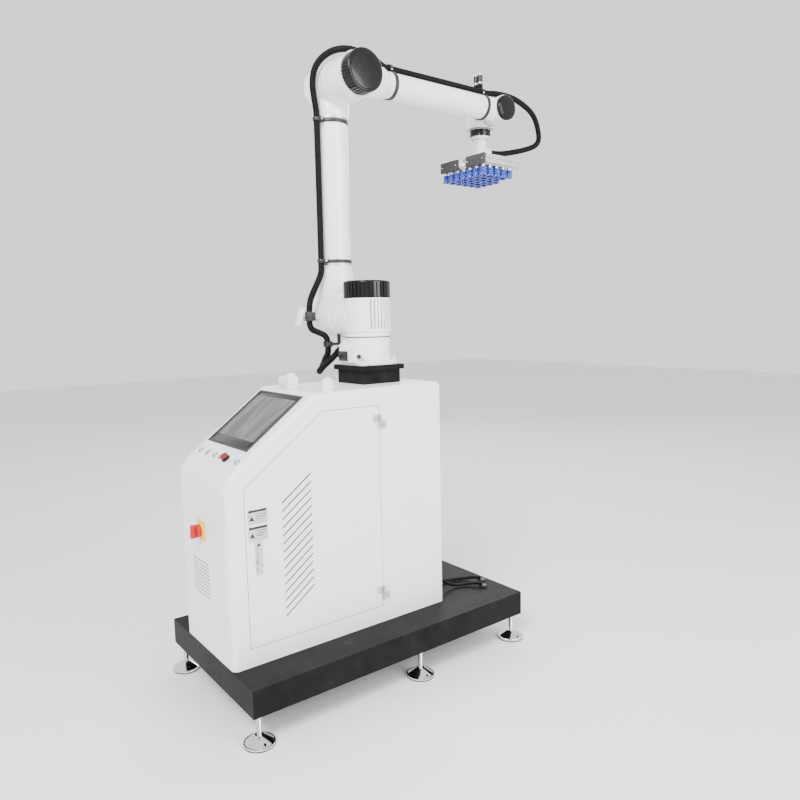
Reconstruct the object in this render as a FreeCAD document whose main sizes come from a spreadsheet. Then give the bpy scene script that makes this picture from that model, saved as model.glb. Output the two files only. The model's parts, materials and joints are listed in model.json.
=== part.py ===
import FreeCAD, Part
import Sketcher
import math
import os
import re

# Palletising robot workstation: arm, pedestal, control cabinet and levelled platform.
# Frame: +Z up, the console faces -Y, the cabinet door faces +X, the origin is on the
# floor at the centre of the platform. Millimetres.

os.makedirs("parts", exist_ok=True)
doc = FreeCAD.newDocument("workstation")
Vector = FreeCAD.Vector
X_AXIS = Vector(1, 0, 0)
Y_AXIS = Vector(0, 1, 0)
Z_AXIS = Vector(0, 0, 1)

DIMENSIONS = {
    "deck_width": 680, "deck_length": 1200, "deck_bottom": 104, "deck_top": 197,
    "deck_skin": 6, "foot_inset": 30, "foot_radius": 50, "foot_middle": 86,
    "stud_radius": 8, "anchor_offset": 38, "anchor_radius": 4.5,
    "cabinet_width": 402, "cabinet_front": -597, "cabinet_back": 292,
    "cabinet_top": 1077, "knee_back": -261, "slope_angle": 36.8, "sheet_wall": 3,
    "door_front": -534, "door_back": 2, "door_bottom": 261, "door_top": 1013,
    "door_knee": -236, "door_gap": 2, "door_depth": 22, "hinge_radius": 6,
    "screen_width": 318, "screen_length": 271, "button_radius": 8,
    "arm_centre": -16, "arm_middle": 115, "pedestal_side": 174, "flange_side": 198,
    "pedestal_top": 1148, "base_radius": 86, "base_joint": 1257, "column_radius": 91,
    "cap_bottom": 1403, "column_top": 1470, "shoulder_height": 1345,
    "upper_arm_plane": -237, "upper_tube_radius": 66, "elbow_height": 2243,
    "forearm_plane": -80, "forearm_radius": 50, "wrist_reach": 900,
    "tool_plane": -180, "tool_middle": 893, "tool_radius": 48,
    "gripper_width": 290, "gripper_depth": 239, "gripper_top": 2041,
    "gripper_bottom": 1994, "cup_pitch": 41, "cup_radius": 17, "hose_radius": 13,
    "running_gap": 0.4,
}

sheet = doc.addObject("Spreadsheet::Sheet", "dims")
for row, (alias, value) in enumerate(DIMENSIONS.items(), start=1):
    sheet.set("A%d" % row, alias)
    sheet.set("B%d" % row, str(value))
    sheet.setAlias("B%d" % row, alias)
doc.recompute()

WORDS = re.compile(r"[a-z]+(?:_[a-z]+)+")
NODES = []


def size(alias):
    """The plain number that the sheet holds for one driving dimension."""
    return float(getattr(sheet, alias))


def bind(item, prop, text):
    """Bind a property to a formula written in the sheet's aliases."""
    item.setExpression(prop, WORDS.sub(lambda match: "dims." + match.group(0), str(text)))


def place(item, corner, rotation=None):
    if rotation:
        item.Placement = FreeCAD.Placement(Vector(), rotation)
    for axis, text in zip("xyz", corner):
        bind(item, ".Placement.Base." + axis, text)


def box(name, lengths, corner):
    """A block from its three edge formulas and its lowest corner."""
    item = doc.addObject("Part::Box", name)
    for prop, text in zip(("Length", "Width", "Height"), lengths):
        bind(item, prop, text)
    place(item, corner)
    return item


TURNS = {
    "z": FreeCAD.Rotation(),
    "x": FreeCAD.Rotation(Y_AXIS, 90),
    "y": FreeCAD.Rotation(X_AXIS, -90),
}


def rod(name, radius, length, start, along="z"):
    """A cylinder that runs from its start in the positive direction of one axis."""
    item = doc.addObject("Part::Cylinder", name)
    bind(item, "Radius", radius)
    bind(item, "Height", length)
    place(item, start, TURNS[along])
    return item


def join(name, pieces):
    item = doc.addObject("Part::MultiFuse", name)
    item.Shapes = pieces
    return item


def cut(name, base, tool):
    item = doc.addObject("Part::Cut", name)
    item.Base = base
    item.Tool = tool
    return item


def group(name, pieces):
    """Separate solids that share one node."""
    item = doc.addObject("Part::Compound", name)
    item.Links = pieces
    return item


def solid(name, shape):
    item = doc.addObject("Part::Feature", name)
    item.Shape = shape
    return item


def node(label, item):
    """Mark an object as a sub-part that is written to its own file."""
    item.Label = label
    NODES.append(item)
    return item


def rounded_path(points, radii, closed=False):
    """Straight runs joined by tangent arcs, one radius for each corner."""
    count = len(points)
    corners = range(count) if closed else range(1, count - 1)
    edges = []
    cursor = None if closed else points[0]
    first = None
    for index in corners:
        corner = points[index]
        back = (points[index - 1] - corner).normalize()
        ahead = (points[(index + 1) % count] - corner).normalize()
        radius = radii[index]
        if radius <= 0:
            start, end = corner, corner
        else:
            half = back.getAngle(ahead) / 2
            reach = radius / math.tan(half)
            start = corner + back * reach
            end = corner + ahead * reach
            middle_line = (back + ahead).normalize()
            centre = corner + middle_line * (radius / math.sin(half))
            middle = centre - middle_line * radius
        if cursor is not None and (start - cursor).Length > 1e-6:
            edges.append(Part.LineSegment(cursor, start).toShape())
        if radius > 0:
            edges.append(Part.Arc(start, middle, end).toShape())
        first = first or start
        cursor = end
    last = first if closed else points[-1]
    if (last - cursor).Length > 1e-6:
        edges.append(Part.LineSegment(cursor, last).toShape())
    return Part.Wire(edges)


def prism(points, radii, direction):
    """A closed outline with rounded corners, extruded."""
    return Part.Face(rounded_path(points, radii, closed=True)).extrude(direction)


def turned(profile, centre, axis):
    """A solid of revolution from (distance along the axis, radius) pairs."""
    side = X_AXIS if abs(axis.x) < 0.5 else Y_AXIS
    outline = [(profile[0][0], 0)] + list(profile) + [(profile[-1][0], 0)]
    points = [centre + axis * along + side * radius for along, radius in outline]
    face = Part.Face(Part.makePolygon(points + [points[0]]))
    return face.revolve(centre, axis, 360)


def drum(start, end, radius, edge, centre_y, centre_z):
    """A barrel along X whose rims are rounded by one edge radius."""
    barrel = Part.makeCylinder(radius, end - start, Vector(start, centre_y, centre_z), X_AXIS)
    rims = [rim for rim in barrel.Edges if rim.Curve.TypeId == "Part::GeomCircle"]
    low = [rim for rim in rims if abs(rim.CenterOfMass.x - start) < 1e-3]
    return barrel.makeFillet(edge, low)


def hose_tube(name, points, radius):
    """A flexible hose along runs and tangent arcs, each arc as large as its runs allow."""
    points = [Vector(*point) for point in points]
    radii = [0.0] * len(points)
    for index in range(1, len(points) - 1):
        back = points[index - 1] - points[index]
        ahead = points[index + 1] - points[index]
        turn = math.pi - back.getAngle(ahead)
        radii[index] = 0.45 * min(back.Length, ahead.Length) / math.tan(turn / 2)
    path = rounded_path(points, radii)
    start = points[0]
    ring = Part.Wire(Part.Circle(start, points[1] - start, radius).toShape())
    tube = path.makePipeShell([ring], True, False)
    ratio = tube.Volume / (math.pi * radius ** 2 * path.Length)
    least = min(radii[1:-1]) if len(points) > 2 else 0
    print("%s: length %.0f, least radius %.0f, volume ratio %.4f" % (name, path.Length, least, ratio))
    return tube


def hose(name, points, radius):
    node(name, solid(name, hose_tube(name, points, radius)))


# Platform ---------------------------------------------------------------------------

FOOT_ROWS = ("-deck_length / 2 + foot_inset", "foot_middle", "deck_length / 2 - foot_inset")
FOOT_SIDES = (-1, 1)


def platform():
    outer = box("deck_outer", ("deck_width", "deck_length", "deck_top - deck_bottom"),
                ("-deck_width / 2", "-deck_length / 2", "deck_bottom"))
    inner = box("deck_inner", ("deck_width - 2 * deck_skin", "deck_length - 2 * deck_skin",
                               "deck_top - deck_bottom - deck_skin"),
                ("-deck_width / 2 + deck_skin", "-deck_length / 2 + deck_skin", "deck_bottom"))
    tray = cut("deck_tray", outer, inner)
    pads = [box("foot_block", (56, 56, 46),
                ("%d * (deck_width / 2 - foot_inset) - 28" % side, row + " - 28", "deck_bottom"))
            for side in FOOT_SIDES for row in FOOT_ROWS]
    pads = [box("foot_beam", ("deck_width - 2 * deck_skin", 40, 60),
                ("-deck_width / 2 + deck_skin", row, "deck_top - deck_skin - 60"))
            for row in (-300, 280)] + pads
    bores = [rod("stud_bore", "stud_radius + 0.1", 70,
                 ("%d * (deck_width / 2 - foot_inset)" % side, row, "deck_bottom - 5"))
             for side in FOOT_SIDES for row in FOOT_ROWS]
    bores.append(rod("cable_bore", 14, 40, (182, "deck_length / 2 - 20", 150), "y"))
    tool = join("deck_bores", bores)
    node("platform_frame", cut("platform_frame", join("deck_welded", [tray] + pads), tool))


def levelling_feet():
    """Six chrome feet, each a domed pad with an anchor hole, a stud and a lock nut."""
    feet = []
    for side in FOOT_SIDES:
        for row in FOOT_ROWS:
            column = "%d * (deck_width / 2 - foot_inset)" % side
            base = doc.addObject("Part::Cylinder", "pad_disc")
            bind(base, "Radius", "foot_radius")
            bind(base, "Height", 10)
            place(base, (column, row, 0))
            dome = doc.addObject("Part::Cone", "pad_dome")
            bind(dome, "Radius1", "foot_radius - 4")
            bind(dome, "Radius2", "stud_radius + 6")
            bind(dome, "Height", 22)
            place(dome, (column, row, 10))
            stud = rod("stud", "stud_radius", 104, (column, row, 32))
            foot = join("foot", [base, dome, stud])
            anchor = rod("anchor_hole", "anchor_radius", 60,
                         ("%d * (deck_width / 2 - foot_inset + anchor_offset)" % side, row, -10))
            feet.append(cut("foot_drilled", foot, anchor))
            nut = doc.addObject("Part::Prism", "lock_nut")
            nut.Polygon = 6
            bind(nut, "Circumradius", "stud_radius + 7")
            bind(nut, "Height", 12)
            place(nut, (column, row, "deck_bottom - 14"))
            bore = rod("nut_bore", "stud_radius + 0.05", 20, (column, row, "deck_bottom - 18"))
            feet.append(cut("lock_nut_drilled", nut, bore))
    node("levelling_feet", group("levelling_feet", feet))


# Cabinet ----------------------------------------------------------------------------

SLOPE = math.radians(size("slope_angle"))
DOWN_SLOPE = Vector(0, -math.cos(SLOPE), -math.sin(SLOPE))
OUT_OF_SLOPE = Vector(0, -math.sin(SLOPE), math.cos(SLOPE))


def console_outline(back, top, knee, front, bottom, inset, x):
    """Side view of the console, moved inwards by inset: back, top, slope, front, bottom."""
    drop = inset * (1 - math.cos(SLOPE)) / math.sin(SLOPE)
    knee_y = knee + inset * math.sin(SLOPE) - drop * math.cos(SLOPE)
    reach = (knee + inset * math.sin(SLOPE) - front - inset) / math.cos(SLOPE)
    front_z = top - inset * math.cos(SLOPE) - reach * math.sin(SLOPE)
    return [Vector(x, back - inset, bottom + inset), Vector(x, back - inset, top - inset),
            Vector(x, knee_y, top - inset), Vector(x, front + inset, front_z),
            Vector(x, front + inset, bottom + inset)]


def cabinet_block(inset):
    half = size("cabinet_width") / 2 - inset
    outline = console_outline(size("cabinet_back"), size("cabinet_top"), size("knee_back"),
                              size("cabinet_front"), size("deck_top"), inset, -half)
    radii = [0, 0, 26 - inset, 95 - inset, 0]
    block = prism(outline, radii, Vector(2 * half, 0, 0))
    rims = [edge for edge in block.Edges
            if abs(abs(edge.BoundBox.XMin) - half) < 0.01 and edge.BoundBox.XLength < 0.01
            and edge.CenterOfMass.z > size("deck_top") + 20
            and edge.CenterOfMass.y < size("cabinet_back") - 20]
    return block.makeFillet(20 - inset, rims)


def door_prism(inset, start, end):
    outline = console_outline(size("door_back"), size("door_top"), size("door_knee"),
                              size("door_front"), size("door_bottom"), inset, start)
    return prism(outline, [0] * 5, Vector(end - start, 0, 0))


def on_slope(along, side, height):
    """A point of the console slope: distance down it, across it and out of it."""
    origin = Vector(0, size("knee_back"), size("cabinet_top"))
    return origin + DOWN_SLOPE * along + X_AXIS * side + OUT_OF_SLOPE * height


def slope_block(along, side, length, width, low, high):
    """A block square to the slope, centred across it at side."""
    block = Part.makeBox(width, length, high - low)
    turn = FreeCAD.Rotation(X_AXIS, size("slope_angle"))
    corner = on_slope(along + length, side - width / 2, low)
    block.Placement = FreeCAD.Placement(corner, turn)
    return block


def slope_disc(along, side, radius, low, high):
    return Part.makeCylinder(radius, high - low, on_slope(along, side, low), OUT_OF_SLOPE)


BUTTON_ROW = 340
BUTTON_PLACES = (-137, -76, -14, 30)
ESTOP_PLACE = 76
KEY_PLACE = 161
SCREEN_SIDE = -6
SCREEN_START = 22


def louvre_slots():
    """Front ventilation slots through the sheet."""
    width, pitch, first, count = 140, 13, 392, 10
    front = size("cabinet_front")
    slots = [Part.makeBox(width, 12, 4, Vector(-104, front - 4, first + pitch * row))
             for row in range(count)]
    return Part.makeCompound(slots)


def cabinet():
    half = size("cabinet_width") / 2
    wall = size("sheet_wall")
    gap = size("door_gap")
    shell = cabinet_block(0).cut(cabinet_block(wall))
    shell = shell.cut(door_prism(-gap, half - wall - 1, half + 1))
    jamb = door_prism(-gap - 4, half - 34, half - 1).cut(door_prism(-gap, half - 40, half))
    lip = door_prism(-gap - 4, half - 34, half - 30).cut(door_prism(14, half - 40, half))
    shell = shell.fuse([jamb, lip])
    openings = [slope_block(SCREEN_START + 12, SCREEN_SIDE, size("screen_length") - 24,
                            size("screen_width") - 24, -12, 6)]
    for place_x in BUTTON_PLACES + (ESTOP_PLACE, KEY_PLACE):
        openings.append(slope_disc(BUTTON_ROW, place_x, size("button_radius") - 0.4, -8, 6))
    openings.append(louvre_slots())
    front = Vector(ISOLATOR_X, size("cabinet_front") - 5, ISOLATOR_Z)
    openings.append(Part.makeCylinder(8.2, 20, front, Y_AXIS))
    for offset in GLAND_PLACES:
        openings.append(Part.makeCylinder(11, 20, Vector(offset, size("cabinet_back") - 10, 262), Y_AXIS))
    node("cabinet_shell", solid("cabinet_shell", shell.cut(openings).removeSplitter()))


GLAND_PLACES = (120, 60, 0)
ISOLATOR_X = -9
ISOLATOR_Z = 625


def interior():
    """Mounting plate on the far side wall with the equipment that runs the arm."""
    inner = "-cabinet_width / 2 + sheet_wall"
    plate = box("equipment_plate", (3, 560, 640), (inner + " + 14", -330, 300))
    spacers = [rod("spacer", 5, 14, (inner, y, z), "x") for y in (-310, 210) for z in (320, 920)]
    node("robot_controller", box("robot_controller", (180, 300, 300), (inner + " + 17", -90, 310)))
    supply = box("power_supply", (110, 130, 190), (inner + " + 17", -290, 420))
    rail = box("rail_web", (7.5, 480, 27), (inner + " + 17", -300, 720))
    rims = [box("rail_rim", (1, 480, 35), (inner + " + 24.5", -300, 716))]
    node("mounting_plate", group("mounting_plate", [plate, join("din_rail", [rail] + rims)] + spacers))
    breakers = [box("breaker", (68, 17.6, 84), (inner + " + 25.5", -280 + 18 * index, 692))
                for index in range(9)]
    relays = [box("relay", (62, 23, 78), (inner + " + 25.5", -90 + 24 * index, 695))
              for index in range(5)]
    node("rail_modules", group("rail_modules", breakers + relays + [supply]))
    tank = rod("pump_motor", 62, 150, (20, -480, 283), "y")
    head = box("pump_head", (130, 90, 140), (-45, -330, 206))
    saddle = box("pump_saddle", (90, 130, 30), (-25, -470, 200))
    node("vacuum_pump", join("vacuum_pump", [tank, head, saddle]))


def rear_glands():
    glands = []
    for offset in GLAND_PLACES:
        stem = rod("gland_stem", 10.5, 24, (offset, "cabinet_back - 8", 262), "y")
        nut = doc.addObject("Part::Prism", "gland_nut")
        nut.Polygon = 6
        nut.Circumradius = 15
        nut.Height = 9
        place(nut, (offset, "cabinet_back", 262), TURNS["y"])
        glands.append(join("gland", [stem, nut]))
    stem = rod("exit_stem", 13.8, 40, (182, "deck_length / 2 - 26", 150), "y")
    collar = rod("exit_collar", 19, 12, (182, "deck_length / 2", 150), "y")
    glands.append(join("exit_gland", [stem, collar]))
    grommets = [rod("deck_grommet", 16, 9, (x, y, "deck_top"), "z")
                for x, y in DECK_GROMMETS]
    node("cable_glands", group("cable_glands", glands + grommets))


DECK_GROMMETS = ((150, 560), (200, 520))


def console_fittings():
    width, length = size("screen_width"), size("screen_length")
    bezel = slope_block(SCREEN_START, SCREEN_SIDE, length, width, 0, 3)
    bezel = bezel.cut(slope_block(SCREEN_START + 9, SCREEN_SIDE, length - 18, width - 18, -1, 4))
    glass = slope_block(SCREEN_START + 9.3, SCREEN_SIDE, length - 18.6, width - 18.6, 0.2, 2)
    node("screen_glass", solid("screen_glass", glass))
    housing = slope_block(SCREEN_START + 13, SCREEN_SIDE, length - 26, width - 26, -48, 0)
    node("screen_frame", solid("screen_frame", bezel.fuse(housing)))
    collars = []
    for place_x in BUTTON_PLACES + (KEY_PLACE,):
        outer = slope_disc(BUTTON_ROW, place_x, size("button_radius") + 3, 0, 2.5)
        collars.append(outer.cut(slope_disc(BUTTON_ROW, place_x, size("button_radius") - 0.6, -1, 4)))
    collar = slope_disc(BUTTON_ROW, ESTOP_PLACE, 15, 0, 5)
    collars.append(collar.cut(slope_disc(BUTTON_ROW, ESTOP_PLACE, 6.5, -1, 6)))
    node("button_collars", solid("button_collars", Part.makeCompound(collars)))


def control(label, place_x, radius, low, high, stem):
    """A push control that slides in its collar, with a stem through the sheet."""
    cap = slope_disc(BUTTON_ROW, place_x, radius, low, high)
    shaft = slope_disc(BUTTON_ROW, place_x, stem, -26, low)
    node(label, solid(label, cap.fuse(shaft).removeSplitter()))


def controls():
    cap = size("button_radius") - 1
    for index, place_x in enumerate(BUTTON_PLACES, start=1):
        control("push_button_%d" % index, place_x, cap, 1, 7.5, 6)
    control("key_switch", KEY_PLACE, cap, 1, 9, 6)
    control("emergency_stop", ESTOP_PLACE, 14, 10, 21, 6)


def front_isolator():
    front = "cabinet_front"
    x, z = ISOLATOR_X, ISOLATOR_Z
    plate = box("isolator_square", (66, 3, 66), (x - 33, front + " - 3", z - 33))
    plinth = rod("isolator_plinth", 26, 5, (x, front + " - 8", z), "y")
    bore = rod("isolator_bore", 8, 20, (x, front + " - 12", z), "y")
    node("isolator_plate", cut("isolator_plate", join("isolator_mount", [plate, plinth]), bore))
    disc = rod("knob_disc", 23, 14, (x, front + " - 22.4", z), "y")
    grip = box("knob_grip", (14, 18, 46), (x - 7, front + " - 40.4", z - 23))
    shaft = rod("knob_shaft", 7.8, 12, (x, front + " - 9", z), "y")
    node("isolator_knob", join("isolator_knob", [disc, grip, shaft]))


def top_fittings():
    top = "cabinet_top"
    bowl = rod("filter_bowl", 22, 46, (-78, -232, top + " + 24"), "x")
    body = box("filter_body", (40, 42, 44), (-36, -252, top))
    head = rod("filter_head", 17, 12, (-16, -231, top + " + 44"))
    unit = join("air_filter", [bowl, body, head])
    ring = rod("beacon_ring", 24, 8, (157, -184, top))
    lamp = rod("beacon_lamp", 20, 22, (157, -184, top + " + 8"))
    dome = doc.addObject("Part::Sphere", "beacon_dome")
    bind(dome, "Radius", 20)
    place(dome, (157, -184, top + " + 30"))
    node("top_fittings", group("top_fittings", [unit, join("status_beacon", [ring, lamp, dome])]))


# Door -------------------------------------------------------------------------------

SLOT_COUNT = 15
SLOT_PITCH = 27.9
HANDLE_Y = -492
PIVOT_Z = 596


def door():
    half = size("cabinet_width") / 2
    depth = size("door_depth")
    panel = door_prism(0, half - depth, half).cut(door_prism(2.5, half - depth - 1, half - 2.5))
    slots = []
    for index in range(SLOT_COUNT):
        slot = Part.makeBox(12, 141, 5)
        corner = Vector(half - 8, -400, 722 - SLOT_PITCH * index)
        slot.Placement = FreeCAD.Placement(corner, FreeCAD.Rotation(X_AXIS, size("slope_angle")))
        slots.append(slot)
    slots.append(Part.makeBox(12, 14, 96, Vector(half - 8, HANDLE_Y - 7, 514)))
    node("door_panel", solid("door_panel", panel.cut(slots).removeSplitter()))


HINGE_LEVELS = (930, 287)
HINGE_LENGTH = 50


def hinge_line():
    return size("cabinet_width") / 2 + size("hinge_radius") + 0.5, size("door_back") + 1


def hinges():
    """Two lift-off hinges: a fixed knuckle with its pin, and a knuckle on the door."""
    x, y = hinge_line()
    face = size("cabinet_width") / 2
    radius = size("hinge_radius")
    half = HINGE_LENGTH / 2
    fixed, moving = [], []
    for level in HINGE_LEVELS:
        fixed.append(Part.makeCylinder(radius, half - 0.5, Vector(x, y, level)).fuse([
            Part.makeBox(4, 26, half - 0.5, Vector(face, y + 2, level)),
            Part.makeCylinder(3, HINGE_LENGTH - 2, Vector(x, y, level))]))
        upper = level + half
        leaf = Part.makeCylinder(radius, half, Vector(x, y, upper)).fuse(
            Part.makeBox(4, 24, half, Vector(face, y - 26, upper)))
        moving.append(leaf.cut(Part.makeCylinder(3.05, half + 2, Vector(x, y, upper - 1))))
    node("hinge_pins", solid("hinge_pins", Part.makeCompound(fixed)))
    node("hinge_leaves", solid("hinge_leaves", Part.makeCompound(moving)))


def door_handle():
    face = "cabinet_width / 2"
    plate = box("handle_plate", (3, 24, 112), (face, HANDLE_Y - 12, 503))
    dish = box("handle_dish", (20, 13, 94), (face + " - 18", HANDLE_Y - 6.5, 515))
    tray = join("handle_tray", [plate, dish])
    recess = box("handle_recess", (30, 10.6, 69), (face + " - 15", HANDLE_Y - 5.3, 537))
    bore = rod("pivot_bore", 2.1, 13.4, (face + " - 1", HANDLE_Y - 6.7, PIVOT_Z), "y")
    barrel = rod("lock_barrel", 7, 6, (face + " + 2", HANDLE_Y, 521), "x")
    cup = cut("handle_cup", tray, join("handle_hollow", [recess, bore]))
    node("handle_base", join("handle_base", [cup, barrel]))
    lever = box("lever_bar", (11, 10, 60), (face + " - 6", HANDLE_Y - 5, 540))
    toe = box("lever_toe", (4, 14, 14), (face + " + 5", HANDLE_Y - 7, 540))
    pin = rod("lever_pin", 2, 13, (face + " - 1", HANDLE_Y - 6.5, PIVOT_Z), "y")
    node("handle_lever", join("handle_lever", [lever, toe, pin]))


# Pedestal and arm base ----------------------------------------------------------------


def centred_sketch(body, name, side):
    """A square sketch on the body's own XY plane, its side bound to the sheet."""
    sketch = body.newObject("Sketcher::SketchObject", name)
    plane = [item for item in body.Origin.OriginFeatures if item.Role == "XY_Plane"][0]
    sketch.AttachmentSupport = [(plane, "")]
    sketch.MapMode = "FlatFace"
    half = size(side) / 2
    corners = [Vector(-half, -half, 0), Vector(half, -half, 0),
               Vector(half, half, 0), Vector(-half, half, 0)]
    for index in range(4):
        sketch.addGeometry(Part.LineSegment(corners[index], corners[(index + 1) % 4]), False)
    for index in range(4):
        sketch.addConstraint(Sketcher.Constraint("Coincident", index, 2, (index + 1) % 4, 1))
    for index, kind in enumerate(("Horizontal", "Vertical", "Horizontal", "Vertical")):
        sketch.addConstraint(Sketcher.Constraint(kind, index))
    sketch.addConstraint(Sketcher.Constraint("Symmetric", 0, 1, 1, 2, -1, 1))
    width = sketch.addConstraint(Sketcher.Constraint("Distance", 0, 2 * half))
    depth = sketch.addConstraint(Sketcher.Constraint("Distance", 1, 2 * half))
    for index in (width, depth):
        bind(sketch, "Constraints[%d]" % index, side)
    return sketch


def pedestal():
    body = doc.addObject("PartDesign::Body", "pedestal")
    column = body.newObject("PartDesign::Pad", "pedestal_column")
    column.Profile = centred_sketch(body, "column_sketch", "pedestal_side")
    bind(column, "Length", "pedestal_top - cabinet_top")
    flange = body.newObject("PartDesign::Pad", "pedestal_flange")
    flange.Profile = centred_sketch(body, "flange_sketch", "flange_side")
    flange.Profile[0].AttachmentOffset = FreeCAD.Placement(Vector(0, 0, 52), FreeCAD.Rotation())
    bind(flange, "Length", "pedestal_top - cabinet_top - 52")
    body.Tip = flange
    place(body, ("arm_centre", "arm_middle", "cabinet_top"))
    node("pedestal", body)


def centre(z):
    return Vector(size("arm_centre"), size("arm_middle"), z)


def robot_base():
    """Cast foot with four bolted ears, a round neck and a connector box."""
    low = size("pedestal_top")
    seam = size("base_joint")
    radius = size("base_radius")
    ears = Part.makeBox(172, 172, 18, centre(low) - Vector(86, 86, 0))
    ears = ears.makeFillet(24, [edge for edge in ears.Edges if edge.BoundBox.ZLength > 10])
    neck = Part.makeCylinder(radius, seam - low - 18, centre(low + 18))
    arch = prism([Vector(-72, 16, low + 12), Vector(-72, 16, low + 60), Vector(-72, 34, low + 96),
                  Vector(-72, 80, low + 108), Vector(-72, 140, low + 108), Vector(-72, 140, low + 12)],
                 [0, 18, 40, 40, 0, 0], Vector(104, 0, 0))
    block = Part.makeBox(70, 80, 62, Vector(-112, 40, low + 18))
    block = block.makeFillet(8, [edge for edge in block.Edges if edge.BoundBox.ZLength > 10])
    casting = ears.fuse([neck, arch, block]).removeSplitter()
    cavity = Part.makeCylinder(58, seam - low - 30, centre(low + 32))
    outlet = Part.makeCylinder(13, 30, Vector(*HOSE_OUTLET), Vector(1, 0, 0))
    feet = [centre(low) + Vector(x, y, 0) for x in BOLT_OFFSETS for y in BOLT_OFFSETS]
    holes = [Part.makeCylinder(6.5, 18, foot).fuse(Part.makeCylinder(11, 14, foot + Z_AXIS * 18))
             for foot in feet]
    node("robot_base", solid("robot_base", casting.cut([cavity, outlet] + holes)))
    heads = [Part.makeCylinder(6.3, 18, foot).fuse(Part.makeCylinder(10, 11, foot + Z_AXIS * 18))
             for foot in feet]
    panel = Part.makeBox(58, 5, 38, Vector(-70, 11, low + 16))
    plug = Part.makeCylinder(9, 8, Vector(32, 34, low + 34), X_AXIS)
    node("base_fittings", solid("base_fittings", Part.makeCompound(heads + [panel, plug])))


HOSE_OUTLET = (-116, 62, 1208)
BOLT_OFFSETS = (-71, 71)


def actuator(label, centre_point, axis, length, radius):
    """Joint drive: gear unit, motor and brake on one line."""
    profile = [(0, radius), (length * 0.3, radius), (length * 0.3, radius * 0.86),
               (length * 0.75, radius * 0.86), (length * 0.75, radius * 0.6), (length, radius * 0.6)]
    node(label, solid(label, turned(profile, centre_point, axis)))


# Shoulder ---------------------------------------------------------------------------

RIB_COUNT = 14
RIB_START = -26
RIB_STEP = 9


def finned_cap(start, end, radius, axis, middle, fins, front):
    """A cap with a smooth rim band and fins cut along its side."""
    length = end - start
    base = middle + axis * start
    cap = Part.makeCylinder(radius, length, base, axis)
    rims = [edge for edge in cap.Edges if edge.Curve.TypeId == "Part::GeomCircle"]
    outer = max(rims, key=lambda rim: (rim.CenterOfMass - base).dot(axis))
    cap = cap.makeFillet(7, [outer])
    groove = Part.makeBox(9, 4.5, length - front, Vector(radius - 5, -2.25, 0))
    turn = FreeCAD.Rotation(Z_AXIS, axis)
    grooves = []
    for index in range(fins):
        cutter = groove.copy()
        cutter.rotate(Vector(), Z_AXIS, 360.0 * index / fins)
        cutter.Placement = FreeCAD.Placement(base, turn).multiply(cutter.Placement)
        grooves.append(cutter)
    return cap.cut(grooves)


def shoulder():
    gap = size("running_gap")
    radius = size("column_radius")
    foot = size("base_joint") + gap
    step = foot + 18
    split = size("cap_bottom")
    height = size("shoulder_height")
    column = Part.makeCylinder(size("base_radius"), step - foot, centre(foot)).fuse([
        Part.makeCylinder(radius, split - step, centre(step)),
        Part.makeCylinder(94, 114, Vector(-151.6, size("arm_middle"), height), X_AXIS)])
    below = Part.makeBox(240, 240, 60, Vector(-170, -5, foot - 60))
    column = column.cut(below).removeSplitter()
    inside = Part.makeCylinder(74, split - foot - 18, centre(foot + 18))
    bore = Part.makeCylinder(60, 60, Vector(-140, size("arm_middle"), height), X_AXIS)
    ribs = []
    for index in range(RIB_COUNT):
        rib = Part.makeBox(5, 5.5, 116, Vector(radius - 2.2, -2.75, 0))
        rib.rotate(Vector(), Z_AXIS, RIB_START + RIB_STEP * index)
        rib.translate(centre(step + 8))
        ribs.append(rib)
    clamp = Part.makeBox(34, 24, 22, Vector(-183, 12, 1216)).fuse([
        Part.makeBox(16, 58, 10, Vector(-158, 12, 1222)),
        Part.makeBox(8, 12, 44, Vector(-150, 58, 1222))])
    clamp = clamp.cut([Part.makeCylinder(13.05, 40, Vector(-166, 24, 1208)),
                       Part.makeCylinder(94.05, 114, Vector(-151.6, size("arm_middle"), height), X_AXIS)])
    node("shoulder_housing", solid("shoulder_housing", column.cut([inside, bore] + ribs)))
    node("shoulder_hose_clip", solid("shoulder_hose_clip", clamp))
    cap = finned_cap(split, size("column_top"), radius, Z_AXIS, centre(0), 36, 8)
    boss = Vector(-151.6, size("arm_middle"), height)
    cap = cap.cut(Part.makeCylinder(94.05, 114.05, boss, X_AXIS))
    node("shoulder_cap", solid("shoulder_cap", cap))


# Upper arm --------------------------------------------------------------------------


STRAP_WIDTH = 14


def strap(start, axis, radius, hose_at):
    """A clamp band round a tube with a saddle that grips the hose beside it."""
    length = STRAP_WIDTH
    band = Part.makeCylinder(radius + 4, length, start, axis)
    band = band.fuse(Part.makeCylinder(size("hose_radius") + 4, length, hose_at, axis))
    band = band.cut(Part.makeCylinder(radius, length + 2, start - axis, axis))
    return band.cut(Part.makeCylinder(size("hose_radius") + 0.05, length + 2, hose_at - axis, axis))


UPPER_HOSE_X = -208
UPPER_HOSE_Y = 32


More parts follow.
